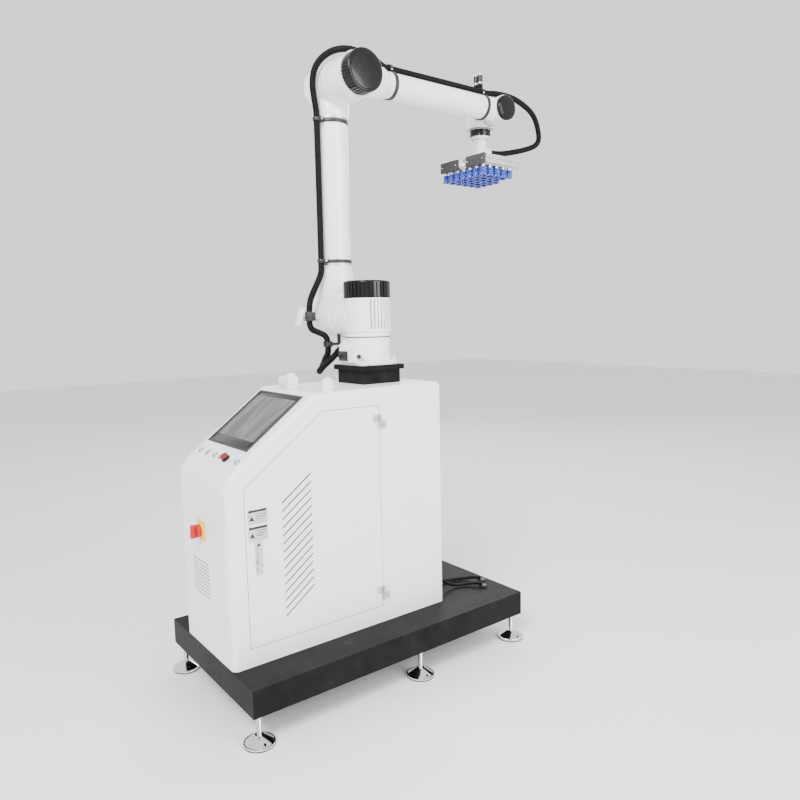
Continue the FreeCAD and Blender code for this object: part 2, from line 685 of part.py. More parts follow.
def upper_arm():
    y, low, high = size("arm_middle"), size("shoulder_height"), size("elbow_height")
    plane, tube = size("upper_arm_plane"), size("upper_tube_radius")
    body = drum(-322, -152, 98, 34, y, low).fuse([
        Part.makeCylinder(78, 112, Vector(plane, y, low)),
        Part.makeCone(78, tube + 3, 92, Vector(plane, y, low + 112))]).removeSplitter()
    body = body.cut(Part.makeCylinder(66, 60, Vector(-210, y, low), X_AXIS))
    node("shoulder_link", solid("shoulder_link", body))
    node("upper_arm_tube", cut("upper_arm_tube",
         rod("upper_tube_outer", "upper_tube_radius", "elbow_height - shoulder_height - 334",
             ("upper_arm_plane", "arm_middle", "shoulder_height + 204")),
         rod("upper_tube_inner", "upper_tube_radius - 6", "elbow_height - shoulder_height - 330",
             ("upper_arm_plane", "arm_middle", "shoulder_height + 202"))))
    top = drum(-322, -152, 86, 36, y, high).fuse([
        Part.makeCylinder(74, 100, Vector(plane, y, high - 100)),
        Part.makeCone(tube + 3, 74, 30, Vector(plane, y, high - 130))]).removeSplitter()
    top = top.cut(Part.makeCylinder(58, 60, Vector(-210, y, high), X_AXIS))
    node("elbow_link", solid("elbow_link", top))
    far = finned_cap(0, 20, 60, Vector(-1, 0, 0), Vector(-322, y, high), 24, 5)
    node("elbow_far_cap", solid("elbow_far_cap", far))
    bands = []
    for z in (low + 206, high - 146):
        hose_at = Vector(UPPER_HOSE_X, UPPER_HOSE_Y, z)
        bands.append(strap(Vector(plane, y, z), Z_AXIS, tube, hose_at))
    bracket = Part.makeBox(26, 40, 40, Vector(-221, -48, 1318)).fuse([
        Part.makeBox(36, 6, 24, Vector(-250, -14, 1326)),
        Part.makeBox(8, 44, 24, Vector(-250, -14, 1326))])
    bands.append(bracket.cut([Part.makeCylinder(13.05, 60, Vector(UPPER_HOSE_X, -33, 1308)),
                              Part.makeCylinder(98.05, 170, Vector(-322, y, low), X_AXIS)]))
    return bands


# Forearm ----------------------------------------------------------------------------

WRIST_FACE = -12


def forearm():
    y, z, x = size("arm_middle"), size("elbow_height"), size("forearm_plane")
    reach, tube = size("wrist_reach"), size("forearm_radius")
    near = Part.makeCylinder(84, 118, Vector(-151.6, y, z), X_AXIS)
    neck = Part.makeCylinder(60, 128, Vector(x, y, z), Y_AXIS).fuse(
        Part.makeCylinder(tube + 5, 12, Vector(x, y + 128, z), Y_AXIS))
    housing = near.fuse(neck).removeSplitter()
    housing = housing.cut([Part.makeCylinder(62, 88, Vector(-122, y, z), X_AXIS),
                           Part.makeCylinder(79.1, 40, Vector(-33.6, y, z), X_AXIS)])
    node("elbow_housing", solid("elbow_housing", housing))
    cap = finned_cap(-33.6, 18, 79, X_AXIS, Vector(0, y, z), 40, 8)
    node("elbow_cap", solid("elbow_cap", cap))
    node("forearm_tube", cut("forearm_tube",
         rod("forearm_outer", "forearm_radius", "wrist_reach - arm_middle - 228",
             ("forearm_plane", "arm_middle + 140", "elbow_height"), "y"),
         rod("forearm_inner", "forearm_radius - 5", "wrist_reach - arm_middle - 216",
             ("forearm_plane", "arm_middle + 134", "elbow_height"), "y")))
    wrist = Part.makeCylinder(56, 92, Vector(-121.6, reach, z), X_AXIS).fuse(
        Part.makeCylinder(tube + 1, 88, Vector(x, reach - 88, z), Y_AXIS)).removeSplitter()
    wrist = wrist.cut([Part.makeCylinder(42, 60, Vector(-100, reach, z), X_AXIS),
                       Part.makeBox(20, 100, 120, Vector(-141.6, reach - 90, z - 60)),
                       Part.makeBox(20, 100, 120, Vector(-29.6, reach - 90, z - 60))])
    node("wrist_yoke", solid("wrist_yoke", wrist))
    wrist_cap = finned_cap(-29.6, WRIST_FACE, 53, X_AXIS, Vector(0, reach, z), 24, 6)
    node("wrist_cap", solid("wrist_cap", wrist_cap))
    top = z + tube + size("hose_radius") + 1
    bands = []
    for along in (y + 175, reach - 104):
        bands.append(strap(Vector(x, along, z), Y_AXIS, tube, Vector(x, along, top)))
    foot = Part.makeBox(51, 22, 26, Vector(x - 65, reach - 88, z + 40))
    foot = foot.cut(Part.makeCylinder(tube + 1.05, 60, Vector(x, reach - 90, z), Y_AXIS))
    towers = [Part.makeCylinder(11, 86, Vector(x - 39 + 13 * side, reach - 77, z + 66))
              for side in (-1, 1)]
    bands.append(foot.fuse(towers))
    node("forearm_clamps", solid("forearm_clamps", Part.makeCompound(bands)))


# Wrist and tool ---------------------------------------------------------------------


def wrist():
    x, y, z = size("tool_plane"), size("tool_middle"), size("elbow_height")
    reach = size("wrist_reach")
    barrel = Part.makeCylinder(57, 118, Vector(x, y, 2176))
    rims = [edge for edge in barrel.Edges if edge.CenterOfMass.z > 2293
            and edge.Curve.TypeId == "Part::GeomCircle"]
    barrel = barrel.makeFillet(12, rims)
    knuckle = barrel.fuse(Part.makeCylinder(54, 56, Vector(x, reach, z), X_AXIS)).removeSplitter()
    knuckle = knuckle.cut(Part.makeCylinder(44, 76, Vector(x, y, 2175)))
    node("wrist_housing", solid("wrist_housing", knuckle))
    gap = size("running_gap")
    ring = Part.makeCylinder(size("tool_radius"), 29, Vector(x, y, 2147 - gap)).fuse(
        Part.makeCylinder(38, 60, Vector(x, y, 2147 - gap)))
    node("tool_flange", solid("tool_flange", ring.removeSplitter()))
    plate = Part.makeCylinder(45, 10, Vector(x, y, 2136.6)).fuse(
        Part.makeCylinder(28, 84, Vector(x, y, 2052.6)))
    side_port = Part.makeCylinder(16, 34, Vector(x, y + 24, 2086), Y_AXIS)
    node("gripper_stem", solid("gripper_stem", plate.fuse(side_port).removeSplitter()))


def cup_places():
    """Cup grid under the gripper; the last row behind is missing on the door side."""
    columns, rows = 7, 6
    pitch = size("cup_pitch")
    for column in range(columns):
        for row in range(rows):
            if row == rows - 1 and column > 3:
                continue
            yield (size("tool_plane") + pitch * (column - (columns - 1) / 2),
                   size("tool_middle") + pitch * (row - (rows - 1) / 2))


def gripper():
    x, y = size("tool_plane"), size("tool_middle")
    width, depth = size("gripper_width"), size("gripper_depth")
    top, low = size("gripper_top"), size("gripper_bottom")
    plate = Part.makeBox(width - 36, depth - 12, 12, Vector(x - width / 2 + 18, y - depth / 2 + 10, low))
    plate = plate.fuse(Part.makeBox(110, 110, 58.6 - 12, Vector(x - 55, y - 55, low + 12)))
    holes = [Part.makeCylinder(4.05, 16, Vector(cup_x, cup_y, low - 2)) for cup_x, cup_y in cup_places()]
    carrier = plate.cut(holes).removeSplitter()
    front = y - depth / 2
    blocks = [Part.makeBox(118, 10, top - low, Vector(x - width / 2, front, low)),
              Part.makeBox(118, 10, top - low, Vector(x + width / 2 - 118, front, low))]
    node("valve_blocks", solid("valve_blocks", Part.makeCompound(blocks)))
    rail = Part.makeBox(18, depth - 12, top - low - 8, Vector(x + width / 2 - 18, front + 12, low + 4))
    slot = Part.makeBox(6, depth, 8, Vector(x + width / 2 - 5, front, low + 18))
    far = Part.makeBox(18, depth - 12, top - low - 8, Vector(x - width / 2, front + 12, low + 4))
    node("side_profiles", solid("side_profiles", Part.makeCompound([rail.cut(slot), far])))
    cups, stems = [], []
    radius = size("cup_radius")
    for cup_x, cup_y in cup_places():
        profile = [(0, radius), (-9, radius * 0.72), (-13, radius * 0.95), (-20, radius * 0.7),
                   (-24, radius * 0.95), (-33, radius)]
        cups.append(turned(profile, Vector(cup_x, cup_y, low - 11), Z_AXIS))
        stems.append(Part.makeCylinder(4, 19, Vector(cup_x, cup_y, low - 11)).fuse(
            Part.makeCylinder(8, 10, Vector(cup_x, cup_y, low - 10.9))))
    node("suction_cups", solid("suction_cups", Part.makeCompound(cups)))
    node("gripper_plate", solid("gripper_plate", Part.makeCompound([carrier] + stems)))


# Hoses and cables -------------------------------------------------------------------

def hoses():
    radius = size("hose_radius")
    hose("base_hose", [(-112, 62, 1208), (-140, 62, 1207), (-143, 42, 1182), (-146, 12, 1158),
                       (-158, -12, 1134), (-178, -14, 1119), (-200, 4, 1118), (-206, 22, 1142),
                       (-192, 26, 1170), (-166, 24, 1188), (-166, 24, 1216)], radius)
    hose("shoulder_hose", [(-166, 24, 1216), (-166, 24, 1256), (-186, -4, 1274), (-208, -33, 1288),
                           (-208, -33, 1318)], radius)
    climb = hose_tube("upper_arm_hose", [
        (-208, -33, 1318), (-208, -33, 1384), (-208, -14, 1430), (-208, 10, 1470),
        (-208, 27, 1505), (-208, 32, 1530), (-208, 32, 2090)], radius)
    node("upper_arm_hose", solid("upper_arm_hose", Part.makeCompound([climb] + UPPER_CLAMPS)))
    hose("elbow_hose", [(-208, 32, 2090), (-208, 32, 2130), (-200, 18, 2180), (-186, 2, 2235),
                        (-166, 10, 2295), (-138, 52, 2340), (-110, 112, 2358), (-90, 178, 2346),
                        (-80, 234, 2326), (-80, 268, 2307), (-80, 290, 2307)], radius)
    hose("forearm_hose", [(-80, 290, 2307), (-80, 810, 2307)], radius)
    hose("wrist_hose_upper", [(-80, 810, 2307), (-80, 846, 2307), (-81, 886, 2315), (-85, 950, 2320),
                              (-92, 1025, 2320), (-104, 1100, 2308), (-116, 1172, 2288),
                              (-126, 1220, 2250), (-132, 1238, 2215)], radius)
    hose("wrist_hose_lower", [(-132, 1238, 2215), (-138, 1256, 2180), (-146, 1236, 2146),
                              (-158, 1170, 2122), (-170, 1090, 2102), (-180, 1010, 2086),
                              (-180, 951.2, 2086)], radius)


def cables():
    """Leads from the cabinet's rear glands to the deck grommets."""
    y = size("cabinet_back") + 16
    hose("supply_cable", [(60, y, 262), (60, y + 34, 262), (60, y + 60, 234), (62, y + 100, 208),
                          (74, y + 160, 205), (98, y + 205, 206), (120, y + 228, 213.6),
                          (150, y + 248, 213.6)], 7)
    hose("robot_cable", [(120, y, 262), (120, y + 34, 262), (122, y + 62, 234), (126, y + 104, 208),
                         (140, y + 150, 204.5), (160, y + 180, 208), (180, y + 196, 212.4),
                         (200, y + 208, 212.4)], 6)


platform()
levelling_feet()
cabinet()
interior()
rear_glands()
console_fittings()
controls()
front_isolator()
top_fittings()
door()
hinges()
door_handle()
pedestal()
robot_base()
actuator("base_drive", centre(1182), Z_AXIS, 74, 54)
shoulder()
actuator("shoulder_drive", Vector(-139, 115, size("shoulder_height")), X_AXIS, 58, 56)
UPPER_CLAMPS = upper_arm()
actuator("elbow_drive", Vector(-209, 115, size("elbow_height")), X_AXIS, 56, 54)
forearm()
wrist()
gripper()
hoses()
cables()
doc.recompute()


def check_and_write():
    for item in doc.Objects:
        if "Invalid" in item.State or "Error" in item.State:
            raise RuntimeError("failed feature: " + item.Label)
    for item in NODES:
        if item.Shape.isNull() or not item.Shape.isValid():
            raise RuntimeError("bad shape: " + item.Label)
    if len({item.Label for item in NODES}) != len(NODES):
        raise RuntimeError("two nodes share a name")
    for item in NODES:
        item.Shape.exportStep("parts/%s.step" % item.Label)
    print("wrote %d nodes" % len(NODES))


check_and_write()
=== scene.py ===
import bmesh
import bpy
import json
import math
from mathutils import Matrix, Vector


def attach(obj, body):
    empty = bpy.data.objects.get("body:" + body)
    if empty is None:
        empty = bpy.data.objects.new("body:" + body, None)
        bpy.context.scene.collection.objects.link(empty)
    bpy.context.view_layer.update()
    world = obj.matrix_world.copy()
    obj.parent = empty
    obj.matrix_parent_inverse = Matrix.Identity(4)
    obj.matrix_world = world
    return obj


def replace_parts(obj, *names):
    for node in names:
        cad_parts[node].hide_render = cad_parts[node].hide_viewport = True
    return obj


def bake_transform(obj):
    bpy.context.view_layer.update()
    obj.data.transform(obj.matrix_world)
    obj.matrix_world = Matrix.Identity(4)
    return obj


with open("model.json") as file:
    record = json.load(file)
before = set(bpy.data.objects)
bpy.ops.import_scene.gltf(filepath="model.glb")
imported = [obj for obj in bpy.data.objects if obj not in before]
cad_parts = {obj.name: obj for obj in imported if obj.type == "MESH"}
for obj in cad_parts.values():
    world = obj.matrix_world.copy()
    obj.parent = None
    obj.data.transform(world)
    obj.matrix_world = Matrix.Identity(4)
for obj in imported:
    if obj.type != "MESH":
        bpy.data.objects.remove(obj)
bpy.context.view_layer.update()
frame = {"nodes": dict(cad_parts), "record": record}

MM = 0.001
X_AXIS = Vector((1, 0, 0))
Y_AXIS = Vector((0, 1, 0))
Z_AXIS = Vector((0, 0, 1))


def mm(x, y, z):
    """A point given in millimetres."""
    return Vector((x, y, z)) * MM


# Camera and light ---------------------------------------------------------------------

CAMERA_PLACE = mm(2206.81, -1442.81, 1322.64)
CAMERA_YAW = math.radians(52.434)
CAMERA_PITCH = math.radians(6.734)
CAMERA_ROLL = math.radians(-1.189)
CAMERA_LENS = 31.05
SENSOR_WIDTH = 36

LIGHT_TARGET = Vector((0, 0.1, 1.2))
LIGHTS = {
    "key": (Vector((2.4, -3.4, 4.4)), 2.4, 460),
    "fill": (Vector((4.4, 1.4, 2.4)), 3.0, 230),
    "back": (Vector((-3.2, 3.4, 3.8)), 2.6, 120),
}
WORLD_COLOUR = (0.93, 0.94, 0.96, 1)
WORLD_STRENGTH = 1.45
FLOOR_HALF = 14


def add_camera():
    look = Vector((-math.sin(CAMERA_YAW) * math.cos(CAMERA_PITCH),
                   math.cos(CAMERA_YAW) * math.cos(CAMERA_PITCH), -math.sin(CAMERA_PITCH)))
    level = Vector((math.cos(CAMERA_YAW), math.sin(CAMERA_YAW), 0))
    above = level.cross(look)
    right = level * math.cos(CAMERA_ROLL) + above * math.sin(CAMERA_ROLL)
    up = above * math.cos(CAMERA_ROLL) - level * math.sin(CAMERA_ROLL)
    data = bpy.data.cameras.new("camera")
    data.lens = CAMERA_LENS
    data.sensor_width = SENSOR_WIDTH
    camera = bpy.data.objects.new("camera", data)
    turn = Matrix((right, up, -look)).transposed().to_4x4()
    camera.matrix_world = Matrix.Translation(CAMERA_PLACE) @ turn
    bpy.context.scene.collection.objects.link(camera)
    bpy.context.scene.camera = camera


def add_light(name, place, size, power):
    data = bpy.data.lights.new(name, "AREA")
    data.shape = "DISK"
    data.size = size
    data.energy = power
    light = bpy.data.objects.new(name, data)
    light.location = place
    light.rotation_euler = (LIGHT_TARGET - place).to_track_quat("-Z", "Y").to_euler()
    bpy.context.scene.collection.objects.link(light)


def add_studio():
    for name, (place, size, power) in LIGHTS.items():
        add_light(name, place, size, power)
    world = bpy.data.worlds.new("studio")
    world.use_nodes = True
    background = world.node_tree.nodes["Background"]
    background.inputs["Color"].default_value = WORLD_COLOUR
    background.inputs["Strength"].default_value = WORLD_STRENGTH
    bpy.context.scene.world = world
    floor = bpy.data.meshes.new("floor")
    corners = ((-1, -1), (1, -1), (1, 1), (-1, 1))
    floor.from_pydata([(x * FLOOR_HALF, y * FLOOR_HALF, 0) for x, y in corners], [], [(0, 1, 2, 3)])
    item = bpy.data.objects.new("floor", floor)
    bpy.context.scene.collection.objects.link(item)
    item.data.materials.append(plain_floor())


# Materials ----------------------------------------------------------------------------


class Recipe:
    """A Principled material whose colour, roughness and bump come from noise."""

    def __init__(self, name, **sockets):
        self.material = bpy.data.materials.new(name)
        self.material.use_nodes = True
        self.nodes = self.material.node_tree.nodes
        self.links = self.material.node_tree.links
        self.shader = self.nodes["Principled BSDF"]
        for socket, value in sockets.items():
            self.shader.inputs[socket.replace("_", " ")].default_value = value
        self.coordinates = self.nodes.new("ShaderNodeTexCoord")

    def noise(self, scale, detail=4, stretch=None, rough=0.5):
        texture = self.nodes.new("ShaderNodeTexNoise")
        texture.inputs["Scale"].default_value = scale
        texture.inputs["Detail"].default_value = detail
        texture.inputs["Roughness"].default_value = rough
        self.feed(texture, stretch)
        return texture.outputs["Fac"]

    def feed(self, texture, stretch=None):
        source = self.coordinates.outputs["Object"]
        if stretch:
            mapping = self.nodes.new("ShaderNodeMapping")
            mapping.inputs["Scale"].default_value = stretch
            self.links.new(source, mapping.inputs["Vector"])
            source = mapping.outputs["Vector"]
        self.links.new(source, texture.inputs["Vector"])

    def cells(self, scale):
        texture = self.nodes.new("ShaderNodeTexVoronoi")
        texture.inputs["Scale"].default_value = scale
        self.feed(texture)
        return texture.outputs["Distance"]

    def ramp(self, source, stops):
        ramp = self.nodes.new("ShaderNodeValToRGB")
        elements = ramp.color_ramp.elements
        while len(elements) < len(stops):
            elements.new(0.5)
        for element, (position, colour) in zip(elements, stops):
            element.position = position
            element.color = (*colour, 1)
        self.links.new(source, ramp.inputs["Fac"])
        return ramp.outputs["Color"]

    def colour(self, source, stops):
        self.links.new(self.ramp(source, stops), self.shader.inputs["Base Color"])

    def roughness(self, source, low, high):
        span = self.nodes.new("ShaderNodeMapRange")
        span.inputs["To Min"].default_value = low
        span.inputs["To Max"].default_value = high
        self.links.new(source, span.inputs["Value"])
        self.links.new(span.outputs["Result"], self.shader.inputs["Roughness"])

    def bump(self, source, strength, distance=0.0006):
        bump = self.nodes.new("ShaderNodeBump")
        bump.inputs["Strength"].default_value = strength
        bump.inputs["Distance"].default_value = distance
        previous = self.shader.inputs["Normal"].links
        if previous:
            self.links.new(previous[0].from_socket, bump.inputs["Normal"])
        self.links.new(source, bump.inputs["Height"])
        self.links.new(bump.outputs["Normal"], self.shader.inputs["Normal"])


def shade(level):
    return (level, level, level)


def plain_floor():
    recipe = Recipe("floor_pale", Specular_IOR_Level=0.2)
    recipe.colour(recipe.noise(1.2), [(0.3, shade(0.80)), (0.7, shade(0.83))])
    recipe.roughness(recipe.noise(3), 0.65, 0.8)
    return recipe.material


def paint(name, level, low, high, peel, coat=0.0):
    """Sprayed paint: faint cloudiness, orange peel and a little dust."""
    recipe = Recipe(name, Coat_Weight=coat, Coat_Roughness=0.08)
    cloud = recipe.noise(6, 5)
    recipe.colour(cloud, [(0.25, shade(level * 0.955)), (0.55, shade(level)),
                          (0.8, shade(level * 1.015))])
    recipe.roughness(recipe.noise(28, 6), low, high)
    recipe.bump(recipe.noise(420, 2), peel, 0.0004)
    recipe.bump(recipe.noise(9, 2), peel * 0.5, 0.0008)
    return recipe.material


def black_coat():
    recipe = Recipe("black_powder_coat", Specular_IOR_Level=0.05)
    recipe.colour(recipe.noise(14, 8, rough=0.65), [(0.3, shade(0.006)), (0.62, shade(0.011)),
                                                  (0.8, shade(0.02))])
    recipe.roughness(recipe.noise(60, 6), 0.34, 0.52)
    recipe.bump(recipe.noise(900, 3), 0.25, 0.0003)
    return recipe.material


def gloss_black():
    recipe = Recipe("gloss_black_plastic", Coat_Weight=0.25, Coat_Roughness=0.05,
                    Specular_IOR_Level=0.2)
    recipe.colour(recipe.noise(40, 8, rough=0.7), [(0.4, shade(0.002)), (0.75, shade(0.004)),
                                                 (0.9, shade(0.008))])
    recipe.roughness(recipe.noise(70, 6), 0.16, 0.32)
    recipe.bump(recipe.noise(500, 2), 0.08, 0.0002)
    return recipe.material


def metal(name, colour, low, high, stretch, strength=0.12):
    recipe = Recipe(name, Metallic=1.0)
    dark = tuple(part * 0.86 for part in colour)
    recipe.colour(recipe.noise(30, 6), [(0.3, dark), (0.7, colour)])
    brushed = recipe.noise(60, 8, stretch)
    recipe.roughness(brushed, low, high)
    recipe.bump(brushed, strength, 0.0002)
    return recipe.material


def moulded(name, colour, low=0.35, high=0.55, grain=700, strength=0.2):
    recipe = Recipe(name)
    dark = tuple(part * 0.85 for part in colour)
    recipe.colour(recipe.noise(22, 6), [(0.3, dark), (0.7, colour)])
    recipe.roughness(recipe.noise(90, 5), low, high)
    recipe.bump(recipe.noise(grain, 2), strength, 0.0002)
    return recipe.material


def corrugated_rubber():
    recipe = Recipe("hose_rubber", Specular_IOR_Level=0.1)
    recipe.colour(recipe.noise(35, 7, rough=0.7), [(0.3, shade(0.003)), (0.65, shade(0.006)),
                                                 (0.85, shade(0.016))])
    recipe.roughness(recipe.noise(120, 6), 0.28, 0.5)
    recipe.bump(recipe.noise(800, 3), 0.2, 0.0002)
    return recipe.material


def silicone_blue():
    recipe = Recipe("blue_silicone", Subsurface_Weight=0.25, Subsurface_Scale=0.004,
                    Transmission_Weight=0.12, Coat_Weight=0.5, Coat_Roughness=0.12)
    recipe.colour(recipe.noise(60, 5), [(0.25, (0.001, 0.012, 0.2)), (0.55, (0.002, 0.03, 0.42)),
                                       (0.85, (0.006, 0.08, 0.62))])
    recipe.roughness(recipe.noise(200, 4), 0.18, 0.36)
    recipe.bump(recipe.noise(600, 2), 0.12, 0.0002)
    return recipe.material


def screen_glass():
    """Anti-glare screen: a grey field with soft diagonal bands of painted reflection under a glossy
    face.
    """
    recipe = Recipe("screen_glass", Coat_Weight=0.3, Coat_Roughness=0.06, Specular_IOR_Level=0.3)
    # Soft diagonal bands of painted reflection in the base colour.
    painted_reflection_bands = recipe.noise(1.0, 2, (9.0, 3.0, 3.0))
    recipe.colour(painted_reflection_bands, [(0.38, shade(0.05)), (0.5, shade(0.12)), (0.56, shade(0.06)),
                          (0.68, shade(0.14))])
    recipe.roughness(recipe.noise(300, 4), 0.18, 0.3)
    recipe.bump(recipe.noise(1500, 2), 0.05, 0.0001)
    return recipe.material


def speckled():
    recipe = Recipe("speckled_foam")
    recipe.colour(recipe.cells(420), [(0.0, shade(0.22)), (0.22, shade(0.05)), (0.6, shade(0.03))])
    recipe.roughness(recipe.noise(90, 6), 0.6, 0.85)
    recipe.bump(recipe.cells(420), 0.5, 0.0008)
    return recipe.material


MATERIALS = {
    "white_casting": paint("white_gloss_paint", 0.9, 0.16, 0.3, 0.05, 0.35),
    "white_sheet": paint("white_powder_coat", 0.87, 0.3, 0.42, 0.12, 0.1),
    "black_steel": black_coat(),
    "black_gloss": gloss_black(),
    "chrome": metal("chrome_plate", (0.78, 0.78, 0.79), 0.06, 0.2, (1, 1, 1), 0.03),
    "zinc": metal("zinc_plate", (0.62, 0.63, 0.64), 0.22, 0.42, (1, 1, 6)),
    "aluminium": metal("satin_aluminium", (0.76, 0.77, 0.78), 0.28, 0.45, (1, 0.06, 8)),
    "dark_grey": moulded("dark_moulded", (0.014, 0.014, 0.015)),
    "grey_plastic": moulded("grey_moulded", (0.42, 0.43, 0.44)),
    "white_plastic": moulded("white_moulded", (0.84, 0.84, 0.83), 0.22, 0.38, 500, 0.08),
    "glass": screen_glass(),
    "yellow_plastic": moulded("yellow_moulded", (0.92, 0.6, 0.0), 0.25, 0.4, 500, 0.08),
    "red_plastic": moulded("red_moulded", (0.5, 0.004, 0.008), 0.22, 0.38, 500, 0.08),
    "black_rubber": corrugated_rubber(),
    "blue_rubber": silicone_blue(),
    "speckled": speckled(),
    # Near-black finish of the screen border, also used for the dark strips painted as shade in the door
    # gap, door slots, louvres and column grooves.
    "dark_border_and_painted_shade": moulded("dark_border_and_painted_shade", (0.006, 0.006, 0.007), 0.2, 0.35, 900, 0.05),
    "dull_red": moulded("dull_red_moulded", (0.2, 0.004, 0.006), 0.3, 0.45, 500, 0.08),
    "brass": metal("brass_plate", (0.82, 0.6, 0.28), 0.2, 0.36, (1, 1, 4), 0.06),
    "label_silver": metal("label_foil", (0.66, 0.67, 0.68), 0.35, 0.5, (1, 8, 1), 0.05),
}

add_camera()
add_studio()


def dress_cad_nodes():
    """Every carried-over node gets the finish of its material slot."""
    for entry in frame["record"]["subparts"]:
        item = frame["nodes"][entry["node"]]
        item.data.materials.clear()
        item.data.materials.append(MATERIALS[entry["material_slot"]])


# Mesh tools ---------------------------------------------------------------------------


def square_to(axis):
    """A turn that takes +Z to the axis."""
    return Vector(axis).to_track_quat("Z", "Y").to_matrix()


class Piece:
    """One mesh made of several forms with one finish."""

    def __init__(self, name, finish, body):
        self.name, self.finish, self.body = name, finish, body
        self.vertices, self.faces = [], []

    def add(self, vertices, faces):
        start = len(self.vertices)
        self.vertices += [tuple(vertex) for vertex in vertices]
        self.faces += [tuple(start + index for index in face) for face in faces]

    def skin(self, rings, segments):
        """Join rings of equal count into a tube with closed ends."""
        faces = []
        for row in range(len(rings) - 1):
            for step in range(segments):
                after = (step + 1) % segments
                low, high = row * segments, (row + 1) * segments
                faces.append((low + step, low + after, high + after, high + step))
        faces.append(tuple(reversed(range(segments))))
        faces.append(tuple((len(rings) - 1) * segments + step for step in range(segments)))
        self.add([point for ring in rings for point in ring], faces)

    def lathe(self, profile, origin, axis=Z_AXIS, segments=32):
        """Turn (distance along the axis, radius) pairs, in millimetres, into a closed form."""
        turn = square_to(axis)
        rings = []
        for along, radius in profile:
            rings.append([origin + turn @ Vector((radius * MM * math.cos(2 * math.pi * step / segments),
                                                  radius * MM * math.sin(2 * math.pi * step / segments),
                                                  along * MM)) for step in range(segments)])
        self.skin(rings, segments)

    def block(self, centre, size, rounding=1.0, turn=None, steps=2):
        """A box with rounded edges; sizes in millimetres."""
        mesh = bmesh.new()
        bmesh.ops.create_cube(mesh, size=1)
        bmesh.ops.scale(mesh, vec=Vector(size) * MM, verts=mesh.verts)
        bmesh.ops.bevel(mesh, geom=mesh.edges[:], offset=rounding * MM, segments=steps,
                        profile=0.5, affect="EDGES")
        turn = turn or Matrix.Identity(3)
        vertices = [centre + turn @ vertex.co for vertex in mesh.verts]
        self.add(vertices, [[vertex.index for vertex in face.verts] for face in mesh.faces])
        mesh.free()

    def tube(self, points, radii, segments=14):
        """A tube through points with one radius, in metres, for each."""
        side = None
        rings = []
        for index, point in enumerate(points):
            ahead = points[min(index + 1, len(points) - 1)] - points[max(index - 1, 0)]
            ahead.normalize()
            if side is None:
                side = ahead.orthogonal().normalized()
            side = (side - ahead * side.dot(ahead)).normalized()
            other = ahead.cross(side)
            rings.append([point + (side * math.cos(2 * math.pi * step / segments)
                                   + other * math.sin(2 * math.pi * step / segments)) * radii[index]
                          for step in range(segments)])
        self.skin(rings, segments)

    def bolt(self, origin, axis, radius=5.0, height=4.5):
        """A socket head screw with a rounded rim and its hexagon socket."""
        socket = radius * 0.5
        profile = [(0, radius), (height * 0.8, radius), (height, radius * 0.86), (height, socket)]
        self.lathe(profile + [(height * 0.45, socket), (height * 0.45, 0.01)], origin, axis, 18)

    def make(self, ride=True, sharp=35):
        data = bpy.data.meshes.new(self.name)
        data.from_pydata(self.vertices, [], self.faces)
        data.validate()
        data.shade_smooth()
        data.set_sharp_from_angle(angle=math.radians(sharp))
        data.materials.append(MATERIALS[self.finish])
        item = bpy.data.objects.new(self.name, data)
        bpy.context.scene.collection.objects.link(item)
        if ride:
            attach(item, self.body)
        return item


def line_points(points, spacing):
    """Evenly spaced points of the smooth line that a route's points control."""
    data = bpy.data.curves.new("route", "CURVE")
    data.dimensions = "3D"
    data.resolution_u = 24
    spline = data.splines.new("NURBS")
    spline.points.add(len(points) - 1)
    for control, point in zip(spline.points, points):
        control.co = (*mm(*point), 1)
    spline.order_u = 3
    spline.use_endpoint_u = True
    item = bpy.data.objects.new("route", data)
    mesh = bpy.data.meshes.new_from_object(item)
    line = [vertex.co.copy() for vertex in mesh.vertices]
    bpy.data.meshes.remove(mesh)
    bpy.data.objects.remove(item)
    bpy.data.curves.remove(data)
    out = [line[0]]
    carried = 0.0
    for here, after in zip(line, line[1:]):
        run = (after - here).length
        while carried + run >= spacing and run > 1e-9:
            here = here.lerp(after, (spacing - carried) / run)
            out.append(here.copy())
            run = (after - here).length
            carried = 0.0
        carried += run
    out.append(line[-1])
    return out


# Hoses --------------------------------------------------------------------------------

HOSE_RADIUS = 13.0
RIDGE_PITCH = 5.6
RIDGE_DEPTH = 1.5
RIDGE_STEPS = 4
RIDGE_WAVE = (0.0, 0.75, 1.0, 0.75)
RUN_X, RUN_Y = -208, 32

